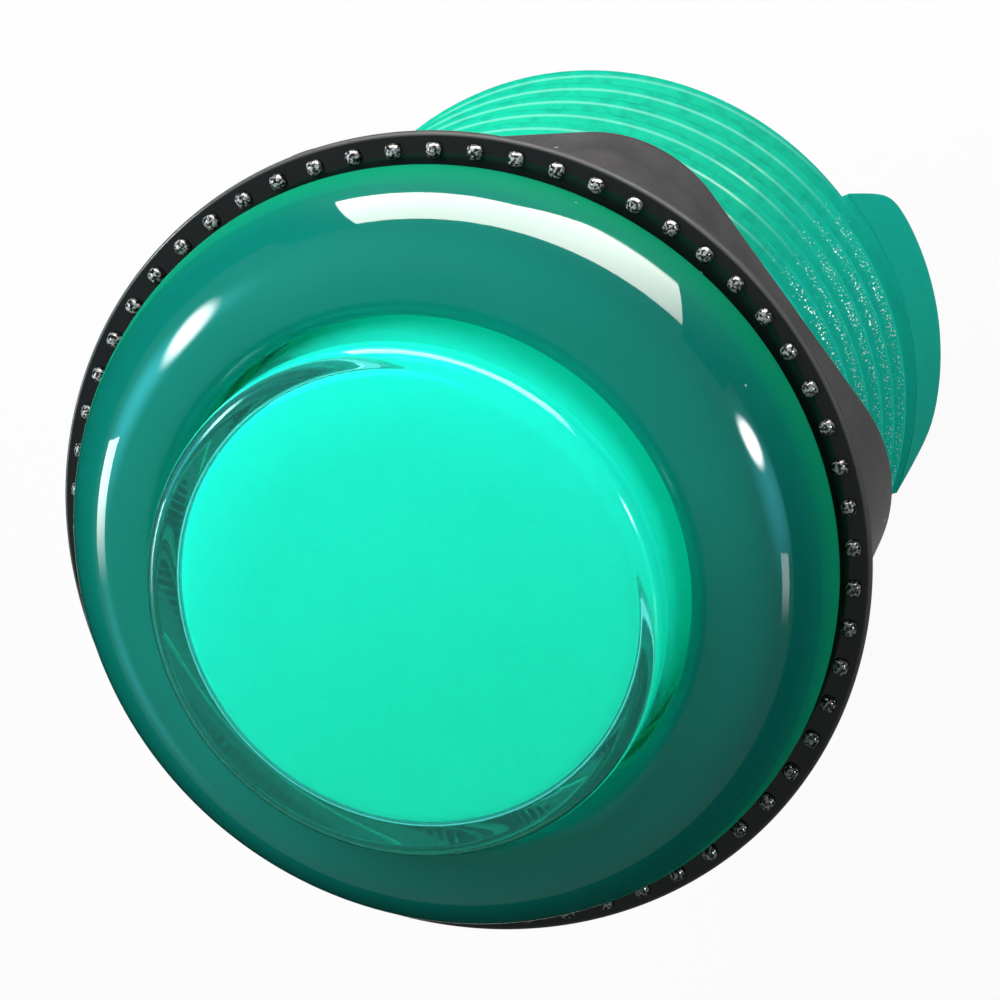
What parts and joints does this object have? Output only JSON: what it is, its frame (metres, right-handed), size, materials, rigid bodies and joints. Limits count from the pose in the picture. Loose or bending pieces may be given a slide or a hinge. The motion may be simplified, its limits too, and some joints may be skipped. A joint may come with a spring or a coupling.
{
  "type": "arcade push button",
  "caption": "Clear green domed push button with a plunger, threaded barrel, studded hex nut, return spring, lamp and snap-action switch, for a round hole in a panel.",
  "frame": {"origin": "on the button's axis, at the back of the bezel, which is the face that sits on the panel", "axes": "+Z along the button's axis out of the panel, towards the plunger's top; the rear ears are on X, and the switch hangs on the -Y side"},
  "size_m": [0.0352, 0.0352, 0.0559],
  "materials": {
    "clear_green_plastic": "clear green, polished outside, grain on the thread",
    "clear_cap_plastic": "clear green tint, polished",
    "mint_diffuser_plastic": "milky mint green, smooth matte",
    "white_plastic": "moulded satin white",
    "black_nut_plastic": "glossy flange, satin flats",
    "spring_steel": "drawn wire",
    "spring_bronze": "rolled spring sheet",
    "lamp_epoxy": "clear cast epoxy",
    "tinned_wire": "tinned square wire",
    "tinned_brass": "tinned stamped sheet",
    "silver_contact": "silver rivet",
    "black_switch_plastic": "moulded satin black",
    "red_switch_plastic": "moulded satin red"
  },
  "bodies": {
    "housing": {"body": "clear_green_plastic", "lamp_holder": "white_plastic", "lamp_base": "white_plastic", "lamp_lens": "lamp_epoxy", "lamp_leads": "tinned_wire", "lamp_contact_left": "tinned_brass", "lamp_contact_right": "tinned_brass", "switch_case": "black_switch_plastic", "switch_cover": "black_switch_plastic", "common_terminal": "tinned_brass", "normally_open_terminal": "tinned_brass", "normally_closed_terminal": "tinned_brass", "fixed_contacts": "silver_contact", "snap_blade": "spring_bronze", "return_spring": "spring_steel"},
    "plunger": {"plunger_cap": "clear_cap_plastic", "diffuser": "mint_diffuser_plastic", "plunger_carrier": "white_plastic"},
    "actuator": {"switch_button": "red_switch_plastic"},
    "contact": {"moving_contact": "silver_contact"},
    "nut": {"mounting_nut": "black_nut_plastic"}
  },
  "joints": [
    {"name": "plunger_press", "type": "slide", "parent": "housing", "child": "plunger", "axis": [0, 0, -1], "range_m": [0, 0.003], "stiffness_N_per_m": 200, "springref_m": -0.005, "deforming": ["return_spring"]},
    {"name": "switch_press", "type": "slide", "parent": "housing", "child": "actuator", "axis": [0, 0, -1], "range_m": [0, 0.0012]},
    {"name": "contact_snap", "type": "slide", "parent": "housing", "child": "contact", "axis": [0, 0, -1], "range_m": [0, 0.00065], "deforming": ["snap_blade"]},
    {"name": "nut_travel", "type": "slide", "parent": "housing", "child": "nut", "axis": [0, 0, -1], "range_m": [0, 0.018]}
  ],
  "couplings": [
    {"joint": "switch_press", "follows": "plunger_press", "ratio": 0.4},
    {"joint": "contact_snap", "follows": "plunger_press", "ratio": 0.216}
  ]
}
